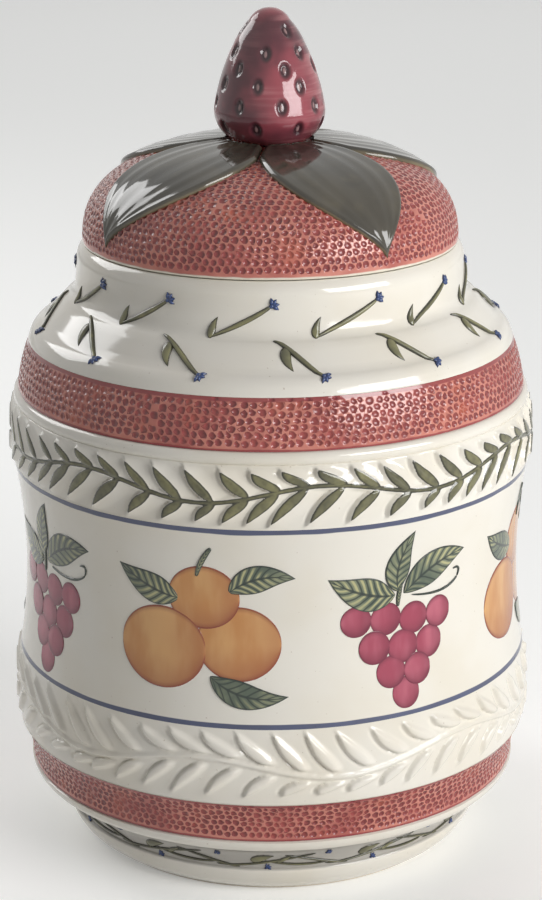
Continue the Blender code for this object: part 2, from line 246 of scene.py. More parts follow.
def inEditMode(piece, *steps, mode="VERT", whole=True):
    # runs the steps on the whole mesh, or on what is already selected in it
    only(piece)
    bpy.context.tool_settings.mesh_select_mode = [mode == kind for kind in ("VERT", "EDGE", "FACE")]
    bpy.ops.object.mode_set(mode="EDIT")
    if whole:
        bpy.ops.mesh.select_all(action="SELECT")
    for operator, settings in steps:
        operator(**settings)
    bpy.ops.object.mode_set(mode="OBJECT")


def joined(name, pieces):
    bpy.ops.object.select_all(action="DESELECT")
    for piece in pieces:
        piece.select_set(True)
    bpy.context.view_layer.objects.active = pieces[0]
    bpy.ops.object.join()
    return named(bpy.context.object, name)


def finished(piece, material, body, replaced=(), angle=75.0):
    only(piece)
    bpy.ops.object.shade_smooth_by_angle(angle=math.radians(angle))
    piece.data.materials.clear()
    piece.data.materials.append(material)
    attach(piece, body)
    if replaced:
        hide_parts(*replaced)


def arc(start, end, swell, parts):  # from start to end, swelling to the left of the way
    chord = math.dist(start, end)
    along = ((end[0] - start[0]) / chord, (end[1] - start[1]) / chord)
    halfAngle = 2 * math.atan(2 * swell / chord)
    radius = chord / (2 * math.sin(halfAngle))
    points = []
    for part in range(1, parts + 1):
        angle = halfAngle * (2 * part / parts - 1)
        forth = chord / 2 + radius * math.sin(angle)
        out = radius * (math.cos(angle) - math.cos(halfAngle))
        points.append((start[0] + along[0] * forth - along[1] * out,
                       start[1] + along[1] * forth + along[0] * out))
    return points


def outline(rows):  # rows of radius and height, and for an arc that ends there its swell and parts
    points = []
    for radius, height, *bend in rows:
        points += arc(points[-1], (radius, height), *bend) if bend else [(radius, height)]
    return points


def sectionWays(section):  # how far each point lies along its section
    ways = [0.0]
    for first, second in zip(section, section[1:]):
        ways.append(ways[-1] + math.dist(first, second))
    return ways


def turned(name, section, steps, closed=False):
    # a circle primitive takes the section's points, in the XZ plane, and is spun round Z
    piece = newPiece(name, bpy.ops.mesh.primitive_circle_add, vertices=len(section))
    writePoints(piece, [(radius * mm, 0.0, height * mm) for radius, height in section])
    if not closed:
        ends = {0, len(section) - 1}
        choose(piece.data.vertices, lambda vert: False)
        choose(piece.data.edges, lambda edge: set(edge.vertices) == ends)
        inEditMode(piece, (bpy.ops.mesh.delete, {"type": "EDGE_FACE"}), mode="EDGE", whole=False)
    spin = {"steps": steps, "angle": 2 * math.pi, "center": (0, 0, 0), "axis": (0, 0, 1)}
    inEditMode(piece, (bpy.ops.mesh.spin, spin), pickAll, weld, faceOut)
    return piece


# The jar's section, which its bands and painting follow

jarSizes = {
    "steps": 256, "waistHollow": 3.0,
    "channel": 0.9,  # how deep the ground of each band and garland lies in the turned body
    # levels above the foot's underside
    "foot": 0.0, "footTop": 11.1, "coveTop": 22.0, "footBeadTop": 26.6, "lowerBandTop": 40.4,
    "lowerLine": 66.7, "upperLine": 132.2, "groove": 153.0, "shoulderBeadTop": 157.0,
    "upperBandTop": 172.4, "shoulderEdge": 174.6, "neckFoot": 188.4, "rim": 204.6,
}
# from the rim down: radius, level, way above it, 1 where the channel sinks it, and an arc's swell and parts
jarOutside = (
    (61.4, "rim", 0.0, 0),
    (63.7, "rim", -5.2, 0, 0.75, 8),
    (64.5, "neckFoot", 1.9, 0),
    (68.0, "neckFoot", -1.8, 0, -0.65, 6),
    (75.4, "shoulderEdge", 4.3, 0, 0.05, 4),
    (79.9, "shoulderEdge", -0.3, 0, 0.85, 6),
    (80.3, "upperBandTop", 0.6, 0, 0.12, 2),
    (80.0, "upperBandTop", 0.0, 1),
    (84.3, "shoulderBeadTop", 0.0, 1, 0.6, 8),
    (84.35, "shoulderBeadTop", -0.1, 0),
    (85.1, "groove", 0.0, 0, 1.05, 8),
    (85.4, "groove", -0.3, 1),
    (86.2, "upperLine", 0.6, 1, 0.5, 6),
    (86.35, "upperLine", 0.4, 0),
    (86.15, "lowerLine", -0.2, 0, -jarSizes["waistHollow"], 28),
    (86.2, "lowerLine", -0.5, 1),
    (86.7, "lowerBandTop", 0.6, 1, 0.5, 8),
    (86.8, "lowerBandTop", 0.4, 0),
    (86.3, "lowerBandTop", 0.0, 1),
    (83.1, "footBeadTop", 0.0, 1, -0.9, 8),
    (83.4, "footBeadTop", -0.6, 0),
    (80.6, "coveTop", 0.0, 0, 0.8, 6),
    (70.3, "footTop", -0.2, 0, -2.5, 10),
    (71.0, "footTop", -1.3, 0, 0.25, 3),
    (63.4, "foot", 0.9, 0, 1.45, 10),
    (62.5, "foot", 0.0, 0, 0.25, 3),
    (57.8, "foot", 0.0, 0),
    (55.5, "foot", 4.2, 0, -0.6, 4),
    (0.0, "foot", 4.2, 0),
)
# from the middle of the floor up to the rim
jarInside = (
    (0.0, "foot", 9.8, 0),
    (58.0, "foot", 9.8, 0),
    (82.1, "foot", 44.3, 0, -6.2, 12),
    (81.3, "lowerLine", 0.0, 0),
    (81.5, "upperLine", 0.0, 0, jarSizes["waistHollow"], 14),
    (80.3, "groove", 0.0, 0),
    (76.5, "foot", 168.6, 0, -0.6, 6),
    (74.7, "foot", 172.6, 0, -0.6, 3),
    (61.2, "foot", 184.8, 0),
    (58.8, "foot", 190.8, 0, 1.2, 6),
    (58.8, "rim", -0.9, 0),
    (59.7, "rim", 0.0, 0, 0.25, 3),
)


def jarSection(rows, channel=0.0):
    return outline([(radius - channel * sunk, jarSizes[level] + above, *bend)
                    for radius, level, above, sunk, *bend in rows])


class Surface:
    # a turned surface, whose ways are walked up it in millimetres from its lowest point
    nearby = 0.4  # how far off on either side its slope is read

    def __init__(self, section):
        self.ways = sectionWays(section)
        self.radii, self.heights = zip(*section)
        self.length = self.ways[-1]

    def wayAt(self, height):
        return np.interp(height, self.heights, self.ways)

    def radiusAt(self, way):
        return np.interp(way, self.ways, self.radii)

    def heightAt(self, way):
        return np.interp(way, self.ways, self.heights)

    def points(self, turn, way, lift=0.0):  # in metres, lifted square off the surface
        before = np.clip(way - self.nearby, 0, self.length)
        after = np.clip(way + self.nearby, 0, self.length)
        out = self.heightAt(after) - self.heightAt(before)
        up = self.radiusAt(before) - self.radiusAt(after)
        size = np.hypot(out, up)
        radius = self.radiusAt(way) + lift * out / size
        height = self.heightAt(way) + lift * up / size
        angle = np.radians(turn)
        return np.stack([radius * np.sin(angle), -radius * np.cos(angle), height + 0 * angle], -1) * mm


recessRadius = 60  # the outside wall starts past the recess under the foot
wall = Surface([point for point in reversed(jarSection(jarOutside)) if point[0] > recessRadius])


# Finishes
# The pair in between() is where a step starts and ends, and the factor after it is how far it covers.

print("finishes")

glazes = {name: colour(*shade) for name, shade in {
    "cream": (236, 231, 220), "creamWarm": (229, 221, 204), "creamShade": (158, 154, 148),
    "clay": (214, 198, 172), "speck": (150, 120, 90), "rubber": (205, 203, 196),
    "line": (50, 68, 116), "lineDeep": (30, 42, 82),
    "leaf": (104, 102, 76), "leafDeep": (50, 50, 42), "leafThin": (136, 132, 92),
    "red": (160, 70, 66), "redPool": (134, 54, 54), "redNet": (208, 132, 116), "redEdge": (138, 46, 54),
    "orange": (186, 92, 68),
    "berry": (158, 74, 84), "berryDeep": (96, 46, 56), "berryThin": (204, 138, 140),
    "pitShade": (52, 26, 34), "seed": (186, 150, 148),
    "olive": (88, 82, 70), "oliveDeep": (64, 61, 54), "oliveThin": (150, 136, 100),
    "blue": (48, 70, 120), "blueDeep": (26, 34, 66),
    "apricot": (202, 140, 80), "apricotDeep": (168, 98, 60), "apricotThin": (220, 168, 108),
    "rust": (136, 58, 40),
    "plum": (164, 66, 88), "plumDeep": (118, 40, 62), "plumThin": (190, 100, 118),
    "sage": (128, 134, 108), "sageDeep": (88, 100, 84), "straw": (196, 190, 140), "leafLine": (44, 54, 50),
}.items()}
gloss = {"IOR": 1.5, "Coat Weight": 0.1, "Coat Roughness": 0.03}


def creamFinish(name):
    # clear glossy glaze over white clay: faint waves, warm clouds and a few specks
    finish = Finish(name, gloss)
    clouds = finish.noise(28.0, 3.0).between(0.4, 0.75) * 0.7
    cream = finish.mix(clouds, "cream", "creamWarm")
    specks = finish.noise(900.0, 1.0).between(0.77, 0.8) * 0.35
    finish.base = finish.mix(specks, cream, "speck")
    finish.rough = finish.fired(16.0)
    finish.normal = finish.bump(finish.noise(45.0), 0.0003, 0.3)
    return finish


def jarGlaze():
    # over the cream: painted shade in the cove, two hand-drawn lines, bare clay under the foot
    finish = creamFinish("cream_glaze_jar")
    height = finish.along("Z")
    wobble = (finish.noise(30.0) - 0.5) * (0.5 * mm)
    half = finish.noise(60.0, 1.0) * (0.6 * mm) + 0.47 * mm
    tone = finish.mix(finish.noise(90.0, 3.0), "line", "lineDeep")
    low, high = jarSizes["footTop"], jarSizes["coveTop"]
    cove = height.between((low - 1.3) * mm, (low - 0.4) * mm)
    cove *= 1 - height.between((high - 2.0) * mm, high * mm)
    # painted shade: the cove between the foot and the bead above it is darkened towards creamShade
    painted = finish.mix(cove * 0.75, finish.base, "creamShade")
    for middle in (jarSizes["upperLine"] - 0.3, jarSizes["lowerLine"] + 0.5):
        away = abs(height - middle * mm + wobble)
        cover = 1 - away.between(half, half + 0.25 * mm)
        painted = finish.mix(cover * 0.92, painted, tone)
    bare = 1 - height.between(0.25 * mm, 0.7 * mm)
    painted = finish.mix(bare, painted, "clay")
    return finish.feed(base=painted, rough=finish.rough + bare * 0.6, normal=finish.normal)


def garlandGlaze():
    # the relief carries how far a point lies inside the painted outline, in millimetres
    finish = creamFinish("cream_glaze_garland")
    edge = finish.ragged(finish.carried("paint"), 420.0, 0.3)
    tone = finish.noise(75.0, 2.0, (1.0, 1.0, 0.5)).between(0.35, 0.7)
    green = finish.mix(tone, "leaf", "leafThin")
    patches = finish.noise(520.0, 1.0).between(0.35, 0.8) * 0.4
    green = finish.mix(patches, green, "leafDeep")
    green = finish.mix((1 - edge.between(0.12, 0.75)) * 0.9, green, "leafDeep")
    base = finish.mix(edge.between(-0.06, 0.08), finish.base, green)
    return finish.feed(base=base, rough=finish.rough, normal=finish.normal)


def plainGlaze():
    finish = creamFinish("cream_glaze_relief")
    return finish.feed(base=finish.base, rough=finish.rough, normal=finish.normal)


def stippledGlaze(name, edges=(), plainBelow=None):
    # the skin carries the way from the middle of each pit, 1 at its rim: glaze pools dark within
    finish = Finish(name, gloss)
    cell = finish.carried("cell", "Vector")
    away = finish.ragged(finish.add("VectorMath", {"operation": "LENGTH"}, {0: cell}, "Value"), 700.0, 0.35)
    within = finish.carried("pit").between(0.0, 0.15)
    pit = (1 - away.between(0.8, 1.12)) * within
    ground = finish.mix(finish.noise(48.0, 3.0).between(0.5, 0.72), "red", "orange")
    deep = finish.mix(finish.noise(140.0).between(0.35, 0.75), "redPool", ground)
    net = finish.mix(finish.noise(70.0).between(0.35, 0.75) * 0.7, "redNet", ground)
    base = finish.mix(pit, net, deep)
    height = finish.ragged(finish.along("Z"), 130.0, 0.9 * mm)
    for edge in edges:  # a line of pure red along each edge of a band
        line = 1 - abs(height - edge * mm).between(0.5 * mm, 0.9 * mm)
        base = finish.mix(line * 0.8, base, "redEdge")
    if plainBelow is not None:  # the pale edge of the lid, where the glaze was wiped
        base = finish.mix(height.between(plainBelow, plainBelow + 0.5 * mm), "creamWarm", base)
    bowl = (1 - away.between(0.2, 1.1)) * within
    normal = finish.bump(finish.noise(300.0) * 0.15 - bowl, 0.00025, 0.8)
    return finish.feed(base=base, rough=finish.noise(260.0, 1.0) * 0.12 + 0.06, normal=normal)


def rubber():
    finish = Finish("seal_silicone_ring", {"Base Color": glazes["rubber"], "IOR": 1.42})
    normal = finish.bump(finish.noise(1500.0, 1.0), 0.00005, 0.4)
    return finish.feed(rough=finish.noise(300.0) * 0.15 + 0.38, normal=normal)


def strokeGlaze(name, thin, thick, deep, edge):
    # raised stems and petals: one brush stroke, whose colour gathers along its edges
    finish = Finish(name, gloss)
    tone = finish.mix(finish.noise(160.0, 2.0).between(0.35, 0.7), thick, thin)
    rim = finish.ragged(finish.carried("rim"), 500.0, 0.3)
    base = finish.mix((1 - rim.between(edge * 0.4, edge * 1.6)) * 0.85, tone, deep)
    return finish.feed(base=base, rough=finish.fired())


def fruitGlaze(name, thin, thick, deep, line):
    # brushed over the cream: lighter to the upper left, darker at the lower right, a thin outline
    finish = Finish(name, gloss)
    strokes = finish.noise(110.0, 3.0, (1.0, 1.0, 0.3)).between(0.36, 0.66)
    body = finish.mix(strokes, thick, thin)
    low = finish.ragged(finish.carried("across"), 60.0, 0.8)
    right = finish.ragged(finish.carried("along"), 55.0, 0.4)
    shade = low.between(0.0, 1.1) * 0.6 + right.between(0.45, 1.0) * 0.5
    body = finish.mix(shade, body, deep)
    rim = finish.ragged(finish.carried("rim"), 220.0, 0.5)
    body = finish.mix((1 - rim.between(0.3, 2.2)) * 0.5, body, line)
    base = finish.mix((1 - rim.between(0.25, 0.8)) * 0.85, body, line)
    return finish.feed(base=base, rough=finish.fired())


def veinedGlaze():
    # painted leaves: grey-green, darker midrib, side veins and outline
    finish = Finish("cream_glaze_leaves", gloss)
    across = finish.carried("across")
    share = finish.carried("along")
    tone = finish.mix(finish.noise(90.0, 3.0).between(0.35, 0.65), "sageDeep", "sage")
    beat = (share * 50.0 - abs(across) * 9.0 + finish.noise(200.0) * 2.0).reckon("SINE")
    pale = (0.0 - beat).between(0.2, 0.9) * finish.noise(70.0).between(0.4, 0.6)
    tone = finish.mix(pale * 0.8, tone, "straw")
    tone = finish.mix(beat.between(0.5, 0.95) * 0.85, tone, "leafLine")
    tone = finish.mix((1 - abs(across).between(0.04, 0.13)) * 0.9, tone, "leafLine")
    rim = finish.ragged(finish.carried("rim"), 260.0, 0.5)
    base = finish.mix((1 - rim.between(0.2, 0.7)) * 0.95, tone, "leafLine")
    return finish.feed(base=base, rough=finish.fired())


def domeLeafGlaze():
    # "inward" is the way in from the leaf's edge, where the glaze runs thin and warm
    finish = Finish("leaf_glaze_blade", gloss)
    inward = finish.ragged(finish.carried("inward"), 130.0, 0.9)
    tone = finish.mix(finish.noise(34.0, 3.0).between(0.35, 0.7), "oliveDeep", "olive")
    strokes = finish.noise(150.0, 2.0, (1.0, 1.0, 0.35)).between(0.5, 0.9)
    tone = finish.mix(strokes * 0.15, tone, "oliveThin")
    worn = finish.noise(50.0, 2.0).between(0.35, 0.65) * 0.55 + 0.1
    base = finish.mix((1 - inward.between(0.1, 0.8)) * worn, tone, "oliveThin")
    normal = finish.bump(finish.noise(60.0), 0.0004, 0.35)
    return finish.feed(base=base, rough=finish.noise(40.0) * 0.06 + 0.05, normal=normal)


def berryGlaze():
    # streaks run round the berry as the brush did, with painted shade in the pits, and paler on the seeds
    finish = Finish("berry_glaze_knob", gloss)
    streaks = finish.noise(60.0, 5.0, (0.6, 0.6, 9.0)).between(0.42, 0.74)
    patches = finish.noise(48.0, 3.0).between(0.36, 0.62)
    flesh = finish.mix(patches, "berryDeep", "berry")
    thin = finish.noise(36.0, 2.0).between(0.42, 0.6)
    flesh = finish.mix(streaks * thin * 0.6, flesh, "berryThin")
    # painted shade: each pit, and a little round it, darkens towards pitShade
    hollow = finish.carried("pit").between(0.1, 0.85)
    flesh = finish.mix(hollow * 0.92, flesh, "pitShade")
    seeds = finish.carried("seed").between(0.3, 0.9)
    base = finish.mix(seeds * 0.6, flesh, "seed")
    normal = finish.bump(finish.noise(120.0, 2.0, (1.0, 1.0, 3.0)), 0.0002, 0.4)
    return finish.feed(base=base, rough=finish.fired(), normal=normal)


# Turned body of the jar

print("jar")
jarWall = jarSection(jarInside) + jarSection(jarOutside, jarSizes["channel"])
jar = turned("canister_jar", jarWall, jarSizes["steps"])
finished(jar, jarGlaze(), "jar", ["jar_body"], angle=32)


# Dimpled skins: the two red bands and the dome of the lid

stippleSizes = {
    "seed": 7, "jitter": 0.22,  # how far a point strays, as a share of a cell
    "rowShare": 0.87,  # the way from row to row, as a share of a cell
    "opening": 48.0,  # how far each point opens along its edges, in per cent
    "steps": ((0.3, 0.14), (0.36, 0.07)),  # how far in and how far down each inset goes
    "wallPit": 0.6,  # what a pit's wall carries, between 0 on the net and 1 on its floor
}


def dimpledSkin(name, section, cell):
    # rings joined by triangles, each vertex then opened to a cell, and each cell pushed in
    at = stippleSizes
    rng = random.Random(at["seed"])
    ways = sectionWays(section)
    radii, heights = zip(*section)
    rows = round(ways[-1] / (cell * at["rowShare"]))
    rings = []
    for row in range(rows + 1):
        way = ways[-1] * row / rows
        count = round(2 * math.pi * np.interp(way, ways, radii) / cell)
        ring = newPiece(name, bpy.ops.mesh.primitive_circle_add, vertices=count)
        points = []
        for place in range(count):
            inner = 0 < row < rows
            turn = 2 * math.pi / count * (place + row % 2 / 2)
            turn += rng.uniform(-1, 1) * at["jitter"] * 2 * math.pi / count
            there = way + rng.uniform(-1, 1) * at["jitter"] * cell * inner
            radius = np.interp(there, ways, radii)
            height = np.interp(there, ways, heights)
            points.append((radius * mm * math.cos(turn), radius * mm * math.sin(turn), height * mm))
        writePoints(ring, points)
        rings.append(ring)
    skin = joined(name, rings)
    skin.data.materials.append(bpy.data.materials.new("net"))
    skin.data.materials.append(bpy.data.materials.new("cells"))
    triangles = (bpy.ops.mesh.quads_convert_to_tris, {"quad_method": "SHORTEST_DIAGONAL"})
    inEditMode(skin, bridge, pickAll, triangles, (bpy.ops.mesh.beautify_fill, {}), pickAll, faceOut)
    face = skin.data.polygons[0]
    if face.normal.x * face.center.x + face.normal.y * face.center.y < 0:
        inEditMode(skin, (bpy.ops.mesh.flip_normals, {}))
    inEditMode(skin, (bpy.ops.mesh.bevel, {"offset_type": "PERCENT", "offset_pct": at["opening"],
                                           "segments": 1, "affect": "VERTICES", "material": 1}))
    choose(skin.data.vertices, lambda vert: False)
    choose(skin.data.edges, lambda edge: False)
    choose(skin.data.polygons, lambda face: face.material_index == 1 and len(face.vertices) > 4)
    insets = [(bpy.ops.mesh.inset, {"thickness": inward * mm, "depth": -depth * mm, "use_individual": True})
              for inward, depth in at["steps"]]
    inEditMode(skin, *insets, mode="FACE", whole=False)
    pit = np.full(len(skin.data.vertices), at["wallPit"])
    floors = [face for face in skin.data.polygons if face.select]
    net = [face for face in skin.data.polygons if face.material_index == 0]
    for value, faces in ((1, floors), (0, net)):
        for face in faces:
            pit[list(face.vertices)] = value
    writeValue(skin, "pit", pit)
    middles = KDTree(len(floors))
    for order, face in enumerate(floors):
        middles.insert(face.center, order)
    middles.balance()
    inset = sum(inward for inward, depth in at["steps"]) * mm
    widths = [math.sqrt(face.area / math.pi) + inset for face in floors]
    cells = []
    for vertex in skin.data.vertices:
        middle, order, away = middles.find(vertex.co)
        cells.append((vertex.co - middle) / widths[order])
    writeValue(skin, "cell", cells)
    skin.data.polygons.foreach_set("material_index", [0] * len(skin.data.polygons))
    return skin


edgePoints = 50  # how many of a band's first points give its radius


def closedBand(band, inward):
    # both open edges are drawn in towards the axis and joined behind
    radius = max(math.hypot(x, y) for x, y, z in readPoints(band)[:edgePoints])
    share = 1 - inward * mm / radius
    drawn = (bpy.ops.transform.resize, {"value": (share, share, 1), "center_override": (0, 0, 0)})
    inEditMode(band, pickNone, pickOpenEdges, (bpy.ops.mesh.extrude_region_move, {}), drawn, bridge,
               pickAll, faceOut, mode="EDGE")
    return band


print("red bands")
bandSizes = {
    "inward": 1.6,
    "upper_red_band": {"cell": 2.8, "rows": ((80.25, jarSizes["upperBandTop"] + 0.5),
                                             (84.35, jarSizes["shoulderBeadTop"] + 0.1, 0.6, 8))},
    "lower_red_band": {"cell": 2.5, "rows": ((86.55, jarSizes["lowerBandTop"] + 0.3),
                                             (83.1, jarSizes["footBeadTop"] + 0.1, -0.9, 8))},
}
bandEdges = [jarSizes[edge] for edge in ("upperBandTop", "shoulderBeadTop", "lowerBandTop", "footBeadTop")]
bandGlaze = stippledGlaze("red_glaze_band", bandEdges)
for name in ("upper_red_band", "lower_red_band"):
    skin = dimpledSkin(name, outline(bandSizes[name]["rows"]), bandSizes[name]["cell"])
    finished(closedBand(skin, bandSizes["inward"]), bandGlaze, "jar", angle=60)


# Garlands in relief round the body

garlands = {
    "upper_garland": {
        "low": "upperLine", "high": "groove", "edges": (0.45, 0.05), "columns": 1120, "rows": 44,
        "stem": 143.8, "wave": 2.8, "waves": 7, "crest": 10.7, "stemHalf": 0.72, "stemRise": 0.95,
        "stemSkirt": 2.2, "rootGap": 0.0, "crease": 0.4,
        "pairs": 53, "firstTip": -17.7, "upTip": 151.4, "downTip": 135.0,
        "upLean": (6.3, 0.3), "downLean": (0.3, 0.92),
        "half": 1.75, "rise": 1.45, "skirt": 4.0, "seed": 3,
    },
    "lower_garland": {
        "low": "lowerBandTop", "high": "lowerLine", "edges": (0.6, -0.15), "columns": 1040, "rows": 50,
        "stem": 53.1, "wave": 3.4, "waves": 6, "crest": -15.0, "stemHalf": 0.62, "stemRise": 0.8,
        "stemSkirt": 1.45, "rootGap": 1.5, "crease": 0.5,
        "pairs": 50, "firstTip": -14.1, "upTip": 64.0, "downTip": 44.9,
        "upLean": (10.1, 0.0), "downLean": (4.4, 0.5),
        "half": 1.45, "rise": 1.3, "skirt": 1.6, "seed": 5,
    },
}
# what both garlands share: how they are jittered, and how a leaf is shaped from root, 0, to tip, 1
reliefSizes = {
    "radius": 86.0, "stemPower": 0.8, "rootTurn": 6.0, "reachTurn": 12, "beforeRoot": -0.5,
    "pairJitter": 0.07, "tipJitter": 0.4, "leanSpread": (0.95, 1.05), "halfSpread": (0.88, 1.08),
    "bend": 0.85, "overrun": 1.3, "widest": 0.72, "fullness": 0.9, "bluntness": 0.7,
    "leftSlope": 0.55, "rightPower": 1.4, "crownDrop": 0.25, "crownEdge": 0.3,
    "rootFade": 0.12, "tipEnd": 1.22, "tipFade": 0.3,
    "creaseOff": 0.75, "creaseHalf": 0.38, "creaseUnder": 0.3,
    "borderFade": 1.2, "borderShare": 0.2, "skin": 0.05, "inward": 1.8,
}


def eased(share):  # a soft step from 0 to 1
    return share * share * (3 - 2 * share)


def garlandStem(sizes, turn):
    return sizes["stem"] + sizes["wave"] * np.cos(np.radians((turn - sizes["crest"]) * sizes["waves"]))


def garlandRelief(sizes, turn, height):
    # how far each point stands out, and how far it lies inside the painted outline
    at = reliefSizes
    rng = random.Random(sizes["seed"])
    girth = at["radius"] * math.pi / 180
    phase = np.radians((turn - sizes["crest"]) * sizes["waves"])
    slope = -sizes["wave"] * sizes["waves"] / at["radius"] * np.sin(phase)
    offStem = np.abs(height - garlandStem(sizes, turn)) / np.sqrt(1 + slope ** 2)
    paint = sizes["stemHalf"] - offStem
    stemSide = offStem / (sizes["stemSkirt"] * sizes["stemHalf"])
    relief = sizes["stemRise"] * np.clip(1 - stemSide ** 2, 0, 1) ** at["stemPower"]
    creases = np.zeros(len(relief))
    for pair in range(sizes["pairs"]):
        jitter = rng.uniform(-at["pairJitter"], at["pairJitter"])
        tipTurn = sizes["firstTip"] + 360 / sizes["pairs"] * (pair + jitter)
        start, share = sizes["upLean"]
        rise = sizes["upTip"] - garlandStem(sizes, tipTurn + at["rootTurn"])
        root = tipTurn + (start + share * rise) / girth
        rootHeight = garlandStem(sizes, root)
        for tipHeight, leaning in ((sizes["upTip"], "upLean"), (sizes["downTip"], "downLean")):
            way = math.copysign(1, tipHeight - rootHeight)
            base = rootHeight + way * sizes["rootGap"]
            reach = tipHeight + rng.uniform(-at["tipJitter"], at["tipJitter"]) - base
            start, share = sizes[leaning]
            lean = (start + share * abs(reach)) * rng.uniform(*at["leanSpread"])
            half = sizes["half"] * rng.uniform(*at["halfSpread"])
            away = (turn - root + 180) % 360 - 180
            near = np.nonzero((np.abs(away) < at["reachTurn"]) & ((height - base) * reach > at["beforeRoot"]))
            along = (height[near] - base) / reach
            middle = -lean * np.clip(along, 0, at["overrun"]) ** at["bend"]
            length = math.hypot(reach, lean)
            across = (away[near] * girth - middle) * abs(reach) / length
            inside = np.clip(along, 0, 1)
            width = half * np.clip(np.sin(np.pi * inside ** at["widest"]), 0, 1) ** at["fullness"]
            ends = np.minimum(along, 1 - along) * length * at["bluntness"]
            paint[near] = np.maximum(paint[near], np.minimum(width - np.abs(across), ends))
            left = np.clip(1 + (across + width) / at["leftSlope"], 0, 1)
            right = np.clip(1 - (across - width) / sizes["skirt"], 0, 1)
            crown = 1 - at["crownDrop"] * np.clip(across / (width + at["crownEdge"]), -1, 1) ** 2
            ends = np.clip((at["tipEnd"] - along) / at["tipFade"], 0, 1)
            ends = np.clip(along / at["rootFade"], 0, 1) * ends
            smoothed = eased(left) * right ** at["rightPower"] * crown * eased(ends)
            relief[near] = np.maximum(relief[near], sizes["rise"] * smoothed)
            groove = np.exp(-((across + width + at["creaseOff"]) / at["creaseHalf"]) ** 2)
            groove = groove * ends * (inside < 1)
            creases[near] = np.maximum(creases[near], groove)
    bare = np.clip(1 - relief / at["creaseUnder"], 0, 1)
    return relief - sizes["crease"] * creases * bare, paint


def garlandBand(name, sizes):
    # a flat grid rolled round the body, whose points then rise by the relief
    at = reliefSizes
    band = newPiece(name, bpy.ops.mesh.primitive_grid_add,
                    x_subdivisions=sizes["columns"], y_subdivisions=sizes["rows"], size=2)
    flat = readPoints(band)
    turn = flat[:, 0] * 180
    low = jarSizes[sizes["low"]] + sizes["edges"][0]
    high = jarSizes[sizes["high"]] + sizes["edges"][1]
    height = low + (high - low) * (flat[:, 1] + 1) / 2
    relief, paint = garlandRelief(sizes, turn, height)
    border = np.clip(np.minimum(height - low, high - height) / at["borderFade"], 0, 1)
    relief = relief * (at["borderShare"] + (1 - at["borderShare"]) * border) + at["skin"]
    writePoints(band, wall.points(turn, wall.wayAt(height), relief))
    writeValue(band, "paint", paint)
    inEditMode(band, weld, faceOut)
    return closedBand(band, at["inward"])


print("garlands")
garlandFinishes = {"upper_garland": garlandGlaze(), "lower_garland": plainGlaze()}
for name, sizes in garlands.items():
    finished(garlandBand(name, sizes), garlandFinishes[name], "jar")


# Lid: a dimpled dome over a flange that enters the neck

lidSizes = {
    "steps": 192, "seat": jarSizes["rim"] + 0.3, "radius": 61.8, "height": 32.0, "fullness": 2.55,
    "wall": 4.6, "edge": 0.7, "flange": 56.5, "flangeWall": 4.8, "flangeDepth": 14.5,
    "grooveDrop": 5.0, "grooveHeight": 6.0, "grooveDepth": 1.6, "crownRadius": 9.0,
    "cell": 2.6, "crownSides": 120, "domeParts": 400, "innerParts": 60, "paleEdge": 0.6,
    "corner": 0.3, "cornerSwell": 0.08, "seatCorner": 0.5, "seatSwell": 0.15,
    "flangeRound": 1.4, "flangeSwell": 0.4, "innerDrop": 2.0, "innerSwell": 0.6,
    "underEdge": (0.05, 0.35), "edgeSwell": 0.1,
}


def domeSection(inset, parts):  # a superellipse from the top of the axis down to the rim
    at = lidSizes
    power = 2 / at["fullness"]
    turns = [math.pi / 2 * (1 - part / parts) for part in range(parts + 1)]
    return [((at["radius"] - inset) * max(0.0, math.cos(turn)) ** power,
             at["seat"] + (at["height"] - inset) * max(0.0, math.sin(turn)) ** power) for turn in turns]


def makeLid():
    # the dimpled dome and a turned underside, sewn together round the rim and closed at the crown
    at = lidSizes
    seat, flange, corner, rounded = at["seat"], at["flange"], at["corner"], at["flangeRound"]
    section = [point for point in domeSection(0.0, at["domeParts"])
               if point[0] >= at["crownRadius"] and point[1] >= seat + at["edge"]]
    inner = [point for point in reversed(domeSection(at["wall"], at["innerParts"]))
             if point[1] > seat + at["innerDrop"]]
    low = seat - at["flangeDepth"]
    groove = seat - at["grooveDrop"]
    inside = flange - at["flangeWall"]
    grooveFloor = flange - at["grooveDepth"]
    under = outline((
        (at["radius"] - at["underEdge"][0], seat + at["underEdge"][1]),
        (at["radius"] - at["edge"], seat, at["edgeSwell"], 3),
        (flange + at["seatCorner"], seat),
        (flange, seat - at["seatCorner"], -at["seatSwell"], 3),
        (flange, groove + corner),
        (flange - corner, groove, at["cornerSwell"], 3),
        (grooveFloor, groove),
        (grooveFloor, groove - at["grooveHeight"]),
        (flange - corner, groove - at["grooveHeight"]),
        (flange, groove - at["grooveHeight"] - corner, at["cornerSwell"], 3),
        (flange, low + rounded),
        (flange - rounded, low, at["flangeSwell"], 5),
        (inside + rounded, low),
        (inside, low + rounded, at["flangeSwell"], 5),
        (inside, seat - at["innerDrop"]),
        (*inner[0], at["innerSwell"], 5),
        *inner[1:],
    ))
    parts = [dimpledSkin("dome_skin", section, at["cell"]), turned("underside", under, at["steps"])]
    lid = joined("canister_lid", parts)
    crown = (bpy.ops.mesh.fill_holes, {"sides": at["crownSides"]})
    inEditMode(lid, crown, pickNone, pickOpenEdges, bridge, pickAll, faceOut, mode="EDGE")
    return lid


sealSizes = {
    "band": 1.3, "fins": 2, "finTip": 0.7, "finRoot": 1.4, "reach": 58.5, "play": 0.3,
    "tipRound": 0.2, "tipSwell": 0.25,
}


